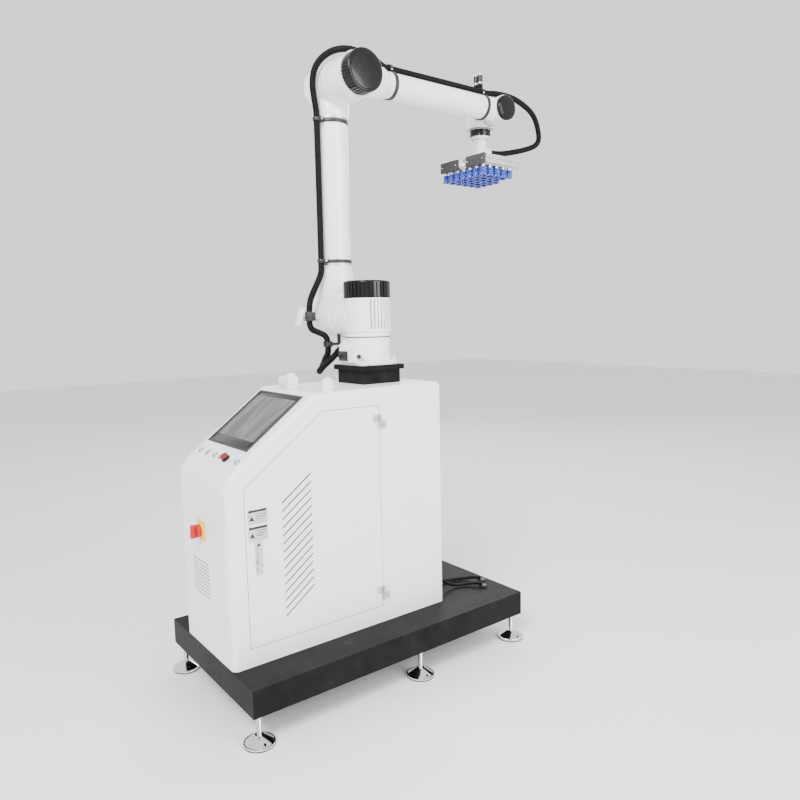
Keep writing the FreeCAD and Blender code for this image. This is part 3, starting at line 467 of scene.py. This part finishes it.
HOSE_ROUTES = {
    "base_hose": [(-112, 62, 1208), (-140, 62, 1207), (-143, 42, 1182), (-146, 12, 1158),
                  (-158, -12, 1134), (-178, -14, 1119), (-200, 4, 1118), (-206, 22, 1142),
                  (-192, 26, 1170), (-166, 24, 1188), (-166, 24, 1216)],
    "shoulder_hose": [(-166, 24, 1216), (-166, 24, 1256), (-186, -4, 1274), (-208, -33, 1288),
                      (-208, -33, 1318)],
    "upper_arm_hose": [(-208, -33, 1318), (-208, -33, 1384), (-208, -14, 1430), (-208, 10, 1470),
                       (-208, 27, 1505), (-208, 32, 1530), (-208, 32, 2090)],
    "elbow_hose": [(-208, 32, 2090), (-208, 32, 2130), (-200, 18, 2180), (-186, 2, 2235),
                   (-166, 10, 2295), (-138, 52, 2340), (-110, 112, 2358), (-90, 178, 2346),
                   (-80, 234, 2326), (-80, 268, 2307), (-80, 290, 2307)],
    "forearm_hose": [(-80, 290, 2307), (-80, 550, 2307.5), (-80, 810, 2307)],
    "wrist_hose_upper": [(-80, 810, 2307), (-80, 846, 2307), (-81, 886, 2315), (-85, 950, 2320),
                         (-92, 1025, 2320), (-104, 1100, 2308), (-116, 1172, 2288),
                         (-126, 1220, 2250), (-132, 1238, 2215)],
    "wrist_hose_lower": [(-132, 1238, 2215), (-138, 1256, 2180), (-146, 1236, 2146),
                         (-158, 1170, 2122), (-170, 1090, 2102), (-180, 1010, 2086),
                         (-180, 951.2, 2086)],
}
RIGID_HOSES = {"upper_arm_hose": "upper_arm", "forearm_hose": "forearm"}
BENDING_HOSES = {
    "base_hose": ("station", "shoulder", mm(-116, 62, 1208), mm(-166, 24, 1208)),
    "shoulder_hose": ("shoulder", "upper_arm", mm(-166, 24, 1240), mm(-208, -33, 1308)),
    "elbow_hose": ("upper_arm", "forearm", mm(-206, 30, 2130), mm(-82, 240, 2318)),
    "wrist_hose_upper": ("forearm", "wrist", mm(-80, 850, 2300), mm(-80, 1210, 2300)),
    "wrist_hose_lower": ("wrist", "tool", mm(-138, 1250, 2200), mm(-176, 1040, 2094)),
}


def hose(name):
    piece = Piece(name + "_ribbed", "black_rubber", RIGID_HOSES.get(name))
    points = line_points(HOSE_ROUTES[name], RIDGE_PITCH / RIDGE_STEPS * MM)
    radii = [(HOSE_RADIUS - RIDGE_DEPTH * (1 - RIDGE_WAVE[index % RIDGE_STEPS])) * MM
             for index in range(len(points))]
    piece.tube(points, radii)
    bends = BENDING_HOSES.get(name)
    item = piece.make(ride=not bends, sharp=80)
    if bends:
        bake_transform(item)
    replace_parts(item, name)


def band(piece, centre, axis, radius, width, thickness):
    """A flat strap round a tube, with rounded edges; sizes in millimetres."""
    half = width / 2
    piece.lathe([(-half, radius), (-half, radius + thickness * 0.7), (-half * 0.7, radius + thickness),
                 (half * 0.7, radius + thickness), (half, radius + thickness * 0.7), (half, radius)],
                centre, axis, 48)


UPPER_TUBE = (-237, 115)
FOREARM_X = -80
STRAP_LEVELS = (1558, 2104)
STRAP_WIDTH = 14
FOREARM_STRAPS = (297, 803)
SADDLE_Z = 1338


def upper_arm_clamps():
    """Straps that hold the hose to the upper arm, and the bracket beside the shoulder link."""
    piece = Piece("upper_arm_straps", "dark_grey", "upper_arm")
    for z in STRAP_LEVELS:
        band(piece, mm(*UPPER_TUBE, z), Z_AXIS, 65.6, STRAP_WIDTH, 3.4)
        band(piece, mm(RUN_X, RUN_Y, z), Z_AXIS, HOSE_RADIUS - 0.4, STRAP_WIDTH, 4)
        piece.block(mm(-214, 51, z), (22, 14, 13), 2)
        piece.block(mm(-190, 40, z), (9, 16, 9), 1.5)
    band(piece, mm(RUN_X, -33, SADDLE_Z), Z_AXIS, HOSE_RADIUS - 0.4, 36, 4.5)
    piece.block(mm(RUN_X, -16, SADDLE_Z), (26, 12, 34), 3)
    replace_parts(piece.make(), "upper_arm_hose")
    plate = Piece("hose_bracket", "white_casting", "upper_arm")
    turn = Matrix.Rotation(math.radians(-18), 3, "X")
    plate.block(mm(-232, -62, SADDLE_Z), (44, 4, 74), 1.2, turn)
    plate.block(mm(-228, -20, 1330), (6, 76, 22), 1.5)
    plate.make()
    screws = Piece("strap_screws", "chrome", "upper_arm")
    for z in STRAP_LEVELS:
        screws.bolt(mm(-185, 40, z), X_AXIS, 3.5, 3)
    screws.make()


# Arm castings -------------------------------------------------------------------------

ARM_MIDDLE = 115
SHOULDER_Z = 1345
ELBOW_Z = 2243
WRIST_Y = 900
BASE_CENTRE = (-16, 115)
FOOT_BOLT_OFFSET = 71
FOOT_TOP = 1166
RIB_COUNT = 14
RIB_START = -26
RIB_STEP = 9
TOOL_X, TOOL_Y = -180, 893


def ring_of(piece, centre, axis, radius, count, head, height, phase=0.0):
    """Socket screws on a circle, radius and sizes in millimetres."""
    turn = square_to(axis)
    for index in range(count):
        angle = 2 * math.pi * index / count + phase
        offset = Vector((math.cos(angle), math.sin(angle), 0)) * radius * MM
        piece.bolt(centre + turn @ offset, axis, head, height)


def arm_rings():
    """Clamp rings where tube meets casting, and dark sealing lips at every turning seam."""
    for body, name, rings in (
            ("upper_arm", "upper_clamp_rings",
             ((mm(*UPPER_TUBE, 1545), Z_AXIS, 69.2), (mm(*UPPER_TUBE, 2116), Z_AXIS, 69.2))),
            ("forearm", "forearm_clamp_rings",
             ((mm(FOREARM_X, 259, ELBOW_Z), Y_AXIS, 50),
              (mm(FOREARM_X, 806, ELBOW_Z), Y_AXIS, 50)))):
        piece = Piece(name, "aluminium", body)
        for centre, axis, radius in rings:
            band(piece, centre, axis, radius - 0.4, 7, 2.6)
        piece.make()
    for body, name, centre, axis, radius in (
            ("station", "shoulder_turn_seal", mm(*BASE_CENTRE, 1254.6), Z_AXIS, 85.6),
            ("upper_arm", "upper_arm_swing_seal", mm(-154.2, ARM_MIDDLE, SHOULDER_Z), X_AXIS, 95),
            ("upper_arm", "forearm_swing_seal", mm(-154.2, ARM_MIDDLE, ELBOW_Z), X_AXIS, 83.4),
            ("forearm", "wrist_swing_seal", mm(-119, WRIST_Y, ELBOW_Z), X_AXIS, 55.6),
            ("wrist", "tool_turn_seal", mm(TOOL_X, TOOL_Y, 2178.5), Z_AXIS, 56.6)):
        piece = Piece(name, "dark_grey", body)
        band(piece, centre, axis, radius, 3.6, 1.6)
        piece.make()


def cover_discs():
    """Raised faces on the black caps, with a shallow bead near the rim."""
    for body, name, centre, axis, radius in (
            ("forearm", "elbow_cap_face", mm(17.6, ARM_MIDDLE, ELBOW_Z), X_AXIS, 70),
            ("forearm", "wrist_cap_face", mm(-12.4, WRIST_Y, ELBOW_Z), X_AXIS, 45),
            ("upper_arm", "far_cap_face", mm(-341.6, ARM_MIDDLE, ELBOW_Z), -X_AXIS, 51)):
        piece = Piece(name, "black_gloss", body)
        piece.lathe([(0, radius), (1.2, radius), (2.2, radius - 1.6), (2.6, radius - 5),
                     (2.8, 0.01)], centre, axis, 72)
        piece.make()
    screws = Piece("shoulder_cover_screws", "chrome", "upper_arm")
    ring_of(screws, mm(-322, ARM_MIDDLE, SHOULDER_Z), -X_AXIS, 52, 8, 4, 3)
    screws.make()
    cover = Piece("shoulder_far_cover", "white_casting", "upper_arm")
    cover.lathe([(0, 46), (3.2, 46), (4.6, 43), (4.9, 0.01)], mm(-322, ARM_MIDDLE, SHOULDER_Z),
                -X_AXIS, 64)
    cover.make()


def base_details():
    """Foot bolts, the connector panel and the spare socket on the arm's base."""
    bolts = Piece("base_bolts", "chrome", "station")
    for x in (-FOOT_BOLT_OFFSET, FOOT_BOLT_OFFSET):
        for y in (-FOOT_BOLT_OFFSET, FOOT_BOLT_OFFSET):
            foot = mm(BASE_CENTRE[0] + x, BASE_CENTRE[1] + y, FOOT_TOP)
            bolts.lathe([(0, 10.5), (1.6, 10.5), (1.8, 9)], foot, Z_AXIS, 24)
            bolts.bolt(foot + Z_AXIS * 1.6 * MM, Z_AXIS, 8, 9)
    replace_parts(bolts.make(), "base_fittings")
    panel = Piece("connector_panel", "dark_grey", "station")
    panel.block(mm(-41, 13.5, 1183), (58, 5, 38), 2)
    for x, radius in ((-58, 8), (-38, 8), (-21, 5.5)):
        panel.lathe([(0, radius), (6, radius), (7, radius - 1), (7, radius - 2.4), (3, radius - 2.6),
                     (3, 0.01)], mm(x, 11, 1184), -Y_AXIS, 28)
    panel.block(mm(36, 34, 1182), (7, 14, 14), 2)
    panel.block(mm(40, 34, 1182), (4, 5, 18), 1)
    panel.block(mm(40, 34, 1182), (4, 18, 5), 1)
    panel.make()
    flange = Piece("pedestal_bolts", "zinc", "station")
    for x in (-92, 92):
        for y in (-60, 60):
            flange.bolt(mm(BASE_CENTRE[0] + x, BASE_CENTRE[1] + y, 1148), Z_AXIS, 5, 4)
    flange.make()


# Gripper ------------------------------------------------------------------------------

CUP_PITCH = 41
CUP_COLUMNS = 7
CUP_ROWS = 6
CUP_TOP = 1983
CUP_PROFILE = [(0, 8), (0, 13.5), (-2.5, 16), (-6, 16.8), (-9, 12.8), (-11, 12.8), (-14, 16.6),
               (-17, 16.6), (-20, 12.6), (-22, 12.8), (-26, 15.6), (-31, 16.9), (-33, 16.9),
               (-32.6, 16), (-27, 12.5), (-24, 9), (-23, 0.01)]


def cup_places():
    for column in range(CUP_COLUMNS):
        for row in range(CUP_ROWS):
            if row == CUP_ROWS - 1 and column > CUP_COLUMNS // 2:
                continue
            yield (TOOL_X + CUP_PITCH * (column - (CUP_COLUMNS - 1) / 2),
                   TOOL_Y + CUP_PITCH * (row - (CUP_ROWS - 1) / 2))


def gripper():
    cups = Piece("bellows_cups", "blue_rubber", "tool")
    nuts = Piece("cup_nuts", "white_plastic", "tool")
    for x, y in cup_places():
        cups.lathe(CUP_PROFILE, mm(x, y, CUP_TOP), Z_AXIS, 24)
        nuts.lathe([(0, 7.5), (1, 8.6), (6, 8.6), (7, 7.5), (10.6, 6.4)],
                   mm(x, y, CUP_TOP + 0.2), Z_AXIS, 6)
    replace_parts(cups.make(sharp=50), "suction_cups")
    nuts.make()
    left, right, front, depth = -325, -35, 773.5, 10
    blocks = Piece("foam_valve_blocks", "speckled", "tool")
    for start, end in ((left, left + 118), (right - 118, right)):
        blocks.block(mm((start + end) / 2, front + depth / 2, 2017.5), (end - start, depth, 46.6), 2)
    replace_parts(blocks.make(), "valve_blocks")
    fittings = Piece("air_fittings", "white_plastic", "tool")
    fittings.block(mm(-180, front + 7, 2012), (30, 9, 20), 2)
    fittings.lathe([(0, 4), (12, 4), (13, 3)], mm(-188, front + 7, 2022), Z_AXIS, 20)
    fittings.make()
    brass = Piece("brass_fittings", "brass", "tool")
    brass.lathe([(0, 4.6), (5, 4.6), (5, 3.4), (12, 3.4)], mm(-172, front + 7, 2022), Z_AXIS, 6)
    brass.lathe([(0, 5), (4, 5), (4, 3.2), (9, 3.2)], mm(-200, front + 8, 2006), X_AXIS, 6)
    brass.make()
    screws = Piece("gripper_screws", "chrome", "tool")
    for x in (left + 12, left + 106, right - 106, right - 12):
        screws.bolt(mm(x, front + 0.4, 2017), -Y_AXIS, 3, 2)
    ring_of(screws, mm(TOOL_X, TOOL_Y, 2136.4), -Z_AXIS, 36, 6, 3.6, 3)
    screws.make()
    union = Piece("hose_union", "black_gloss", "tool")
    union.lathe([(0, 15.6), (8, 15.6), (9, 14.4), (20, 14.4), (21, 13)], mm(TOOL_X, 949, 2086),
                Y_AXIS, 24)
    union.make()


def forearm_details():
    """The pair of quick couplings on the wrist bracket, with knurled and plated collars."""
    collars = Piece("coupling_collars", "chrome", "forearm")
    knurls = Piece("coupling_knurls", "black_gloss", "forearm")
    for x in (-132, -106):
        for low, high, radius in ((2312, 2317, 11.6), (2352, 2358, 11.8), (2388, 2394.6, 11.2)):
            half = (high - low) / 2
            band(collars, mm(x, 823, low + half), Z_AXIS, radius - 1.2, high - low, 1.4)
        profile = []
        for step in range(12):
            profile += [(step * 2.4, 11.9), (step * 2.4 + 1.2, 11.2)]
        knurls.lathe(profile, mm(x, 823, 2320), Z_AXIS, 28)
    collars.make()
    knurls.make()
    screws = Piece("forearm_strap_screws", "chrome", "forearm")
    for y in FOREARM_STRAPS:
        screws.bolt(mm(-62, y, 2299), Z_AXIS, 3.5, 3)
    screws.make()


# Cabinet ------------------------------------------------------------------------------

SLOPE = math.radians(36.8)
SLOPE_TOP = mm(0, -261, 1077)
DOWN_SLOPE = Vector((0, -math.cos(SLOPE), -math.sin(SLOPE)))
OUT_OF_SLOPE = Vector((0, -math.sin(SLOPE), math.cos(SLOPE)))
SLOPE_TURN = Matrix.Rotation(SLOPE, 3, "X")
BUTTON_ROW = 340
BUTTON_PLACES = (-137, -76, -14, 30)
STOP_PLACE = 76
KEY_PLACE = 161
DOOR_FACE = 201
FOOT_PLACES = [(x, y) for x in (-310, 310) for y in (-570, 86, 570)]
HINGE_LEVELS = (930, 287)
SLOT_COUNT = 15
SLOT_PITCH = 27.9
LOUVRE_COUNT = 10
LOUVRE_PITCH = 13
DOOR_OUTLINE = [(3, 1014), (-236.3, 1014), (-535, 790.5), (-535, 260), (3, 260)]


def on_slope(along, side, height=0.0):
    return SLOPE_TOP + (DOWN_SLOPE * along + X_AXIS * side + OUT_OF_SLOPE * height) * MM


def controls():
    """Domed buttons, a keyed switch and a mushroom stop on the console."""
    for index, side in enumerate(BUTTON_PLACES, start=1):
        cap = Piece("button_cap_%d" % index, "grey_plastic", "button_%d" % index)
        cap.lathe([(-2, 6), (1, 6.9), (6.4, 6.9), (7.3, 6.2), (7.5, 5), (6.9, 0.01)],
                  on_slope(BUTTON_ROW, side), OUT_OF_SLOPE, 36)
        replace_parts(cap.make(), "push_button_%d" % index)
    key = Piece("key_barrel", "zinc", "key")
    key.lathe([(-2, 6), (1, 6.9), (8, 6.9), (8.9, 6), (8.9, 0.01)], on_slope(BUTTON_ROW, KEY_PLACE),
              OUT_OF_SLOPE, 36)
    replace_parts(key.make(), "key_switch")
    slot = Piece("key_slot", "dark_grey", "key")
    slot.block(on_slope(BUTTON_ROW, KEY_PLACE, 8.6), (1.8, 7, 0.9), 0.2, SLOPE_TURN)
    slot.make()
    stop = Piece("stop_mushroom", "dull_red", "stop")
    stop.lathe([(-2, 6), (10, 6), (10, 12.4), (11.5, 13.8), (15, 13.9), (18, 12.6), (20.2, 9),
                (20.9, 4), (21, 0.01)], on_slope(BUTTON_ROW, STOP_PLACE), OUT_OF_SLOPE, 48)
    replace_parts(stop.make(), "emergency_stop")
    collar = Piece("stop_collar", "dark_grey", "station")
    collar.lathe([(0, 15.4), (4.5, 15.4), (5.3, 14.2), (5.3, 6.6)], on_slope(BUTTON_ROW, STOP_PLACE),
                 OUT_OF_SLOPE, 40)
    collar.make()
    collars = Piece("button_rims", "zinc", "station")
    for side in BUTTON_PLACES + (KEY_PLACE,):
        collars.lathe([(0, 11.3), (1.8, 11.3), (2.8, 10.2), (2.8, 7.4), (0.4, 7.4)],
                      on_slope(BUTTON_ROW, side), OUT_OF_SLOPE, 36)
    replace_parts(collars.make(), "button_collars")


def labels():
    """Two stacked door labels: a dark heading bar, a plain warning triangle and grey rules."""
    plates = Piece("label_plates", "label_silver", "door")
    marks = Piece("label_marks", "dark_grey", "door")
    for low in (617, 673):
        centre = mm(DOOR_FACE + 0.3, -490.5, low + 25)
        plates.block(centre, (0.6, 69, 50), 0.25)
        marks.block(centre + mm(0.35, 0, 18.5), (0.3, 64, 8.5), 0.1)
        base = centre + mm(0.3, -21, -13)
        corners = [(0, -9, 0), (0, 9, 0), (0, 0, 16), (0.3, -9, 0), (0.3, 9, 0), (0.3, 0, 16)]
        marks.add([base + mm(*corner) for corner in corners],
                  [(0, 2, 1), (3, 4, 5), (0, 1, 4, 3), (1, 2, 5, 4), (2, 0, 3, 5)])
        for row, width in enumerate((36, 36, 24)):
            marks.block(centre + mm(0.35, 12 - (36 - width) / 2, 8 - 8 * row), (0.3, width, 2.2), 0.1)
    plates.make()
    marks.make()


def isolator():
    centre = mm(-9, -597, 625)
    plate = Piece("isolator_escutcheon", "yellow_plastic", "station")
    plate.block(centre - Y_AXIS * 1.6 * MM, (66, 3.2, 66), 1.4, steps=3)
    plate.lathe([(3, 27), (7, 25.8), (8, 24.5), (8, 8.4)], centre, -Y_AXIS, 56)
    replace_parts(plate.make(), "isolator_plate")
    knob = Piece("isolator_handle", "red_plastic", "isolator")
    knob.lathe([(8.4, 22.4), (10, 23), (20, 22), (22.4, 19.5), (22.6, 0.01)], centre, -Y_AXIS, 56)
    knob.block(centre + mm(0, -30.5, 0), (14, 19.5, 46), 3.5, steps=4)
    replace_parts(knob.make(), "isolator_knob")
    mark = Piece("isolator_mark", "white_plastic", "isolator")
    mark.block(centre + mm(0, -40.2, 15), (2.4, 0.8, 12), 0.3)
    mark.make()


def top_fittings():
    """Air filter with its bowl and gauge head, and a low beacon with a domed lens."""
    unit = Piece("air_filter", "white_plastic", "station")
    unit.block(mm(-16, -231, 1099), (40, 42, 44), 5, steps=4)
    unit.lathe([(0, 15), (2, 20), (6, 22), (38, 22), (43, 19), (46, 12)], mm(-78, -232, 1101),
               X_AXIS, 40)
    unit.lathe([(0, 17), (9, 17), (12, 14.5)], mm(-16, -231, 1121), Z_AXIS, 36)
    for step in range(5):
        band(unit, mm(-68 + 7 * step, -232, 1101), X_AXIS, 21.4, 2.4, 0.6)
    unit.lathe([(0, 24), (7, 24), (8, 22)], mm(157, -184, 1077), Z_AXIS, 40)
    unit.lathe([(8, 20), (30, 20), (37, 18.8), (43, 15), (48, 8.5), (50, 0.01)], mm(157, -184, 1077),
               Z_AXIS, 40)
    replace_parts(unit.make(), "top_fittings")


def hardware():
    """Hinge screws and ridged studs on the levelling feet."""
    fixed = Piece("fixed_hinge_screws", "zinc", "station")
    moving = Piece("door_hinge_screws", "zinc", "door")
    for level in HINGE_LEVELS:
        for rise in (6, 18):
            fixed.bolt(mm(205, 20, level + rise), X_AXIS, 2.6, 1.6)
            moving.bolt(mm(205, -15, level + 25 + rise), X_AXIS, 2.6, 1.6)
    fixed.make()
    moving.make()
    threads = Piece("stud_threads", "chrome", "station")
    profile = []
    for step in range(18):
        profile += [(step * 2.6, 8.05), (step * 2.6 + 1.3, 8.7)]
    for x, y in FOOT_PLACES:
        threads.lathe(profile, mm(x, y, 40), Z_AXIS, 24)
    threads.make()
    soles = Piece("foot_soles", "dark_grey", "station")
    for x, y in FOOT_PLACES:
        soles.lathe([(0.2, 50.2), (3.6, 50.6), (4.4, 50)], mm(x, y, 0), Z_AXIS, 48)
    soles.make()
    border = Piece("dark_border_and_painted_shade", "dark_border_and_painted_shade", "station")
    for along, side, length, width in ((38.5, -6, 15, 300), (268, -6, 32, 300),
                                       (153, -149, 244, 14), (153, 137, 244, 14)):
        border.block(on_slope(along, side, 2.2), (width, length, 0.5), 0.2, SLOPE_TURN)
    border.make()
    # Dark strips painted in the door slots as the shade inside them.
    slot_shade = Piece("door_slot_painted_shade", "dark_border_and_painted_shade", "door")
    for index in range(SLOT_COUNT):
        corner = mm(200, -400, 722 - SLOT_PITCH * index)
        slot_shade.block(corner + SLOPE_TURN @ mm(0, 70.5, 2.5), (0.8, 140.4, 4.7), 0.2, SLOPE_TURN)
    slot_shade.make()
    # Dark strips painted in the louvres as the shade inside them.
    louvre_shade = Piece("louvre_painted_shade", "dark_border_and_painted_shade", "station")
    for row in range(LOUVRE_COUNT):
        louvre_shade.block(mm(-34, -596.2, 394 + LOUVRE_PITCH * row), (139.6, 0.8, 3.7), 0.2)
    louvre_shade.make()


def door_gap():
    """A dark line painted round the door as the shade in its gap."""
    gap = Piece("door_gap_painted_shade", "dark_border_and_painted_shade", "station")
    for start, end in zip(DOOR_OUTLINE, DOOR_OUTLINE[1:] + DOOR_OUTLINE[:1]):
        run = Vector((0, end[0] - start[0], end[1] - start[1]))
        turn = Matrix.Rotation(math.atan2(run.z, run.y), 3, "X")
        middle = mm(199.9, (start[0] + end[0]) / 2, (start[1] + end[1]) / 2)
        gap.block(middle, (1.2, run.length + 1.6, 1.7), 0.2, turn)
    gap.make()


def column_groove_shade():
    """Dark strips painted on the turning column as the shade on the floors of its cooling grooves."""
    groove_shade = Piece("column_groove_painted_shade", "dark_border_and_painted_shade", "shoulder")
    for index in range(RIB_COUNT):
        angle = math.radians(RIB_START + RIB_STEP * index)
        turn = Matrix.Rotation(angle, 3, "Z")
        middle = mm(*BASE_CENTRE, 1341.5) + turn @ mm(89.4, 0, 0)
        groove_shade.block(middle, (0.8, 2.6, 112), 0.2, turn)
    groove_shade.make()


# Leads --------------------------------------------------------------------------------

REAR = 308
LEADS = {
    "supply_cable": (7, 0.297, [(60, REAR, 262), (60, REAR + 34, 262), (60, REAR + 60, 234),
                                (62, REAR + 100, 208), (74, REAR + 160, 205), (98, REAR + 205, 206),
                                (120, REAR + 228, 213.6), (150, REAR + 248, 213.6)]),
    "robot_cable": (6, 0.254, [(120, REAR, 262), (120, REAR + 34, 262), (122, REAR + 62, 234),
                               (126, REAR + 104, 208), (140, REAR + 150, 204.5),
                               (160, REAR + 180, 208), (180, REAR + 196, 212.4),
                               (200, REAR + 208, 212.4)]),
}


def leads():
    for node, (radius, length, points) in LEADS.items():
        data = bpy.data.curves.new(node + "_lead", "CURVE")
        data.dimensions = "3D"
        data.bevel_depth = radius * MM
        data.bevel_resolution = 4
        data.use_fill_caps = True
        data.resolution_u = 16
        spline = data.splines.new("NURBS")
        spline.points.add(len(points) - 1)
        for control, point in zip(spline.points, points):
            control.co = (*mm(*point), 1)
        spline.order_u = 3
        spline.use_endpoint_u = True
        data.materials.append(MATERIALS["black_rubber"])
        item = bpy.data.objects.new(node + "_lead", data)
        bpy.context.scene.collection.objects.link(item)
        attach(item, "station")
        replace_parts(item, node)


def soften_edges(width, *nodes):
    """A small bevel on sheet-metal edges, so that they catch the light."""
    for name in nodes:
        modifier = frame["nodes"][name].modifiers.new("edge", "BEVEL")
        modifier.width = width * MM
        modifier.segments = 2
        modifier.limit_method = "ANGLE"
        modifier.angle_limit = math.radians(60)


dress_cad_nodes()
for hose_name in HOSE_ROUTES:
    hose(hose_name)
upper_arm_clamps()
arm_rings()
cover_discs()
base_details()
forearm_details()
gripper()
controls()
labels()
isolator()
top_fittings()
hardware()
door_gap()
column_groove_shade()
leads()
soften_edges(1.2, "platform_frame", "pedestal")
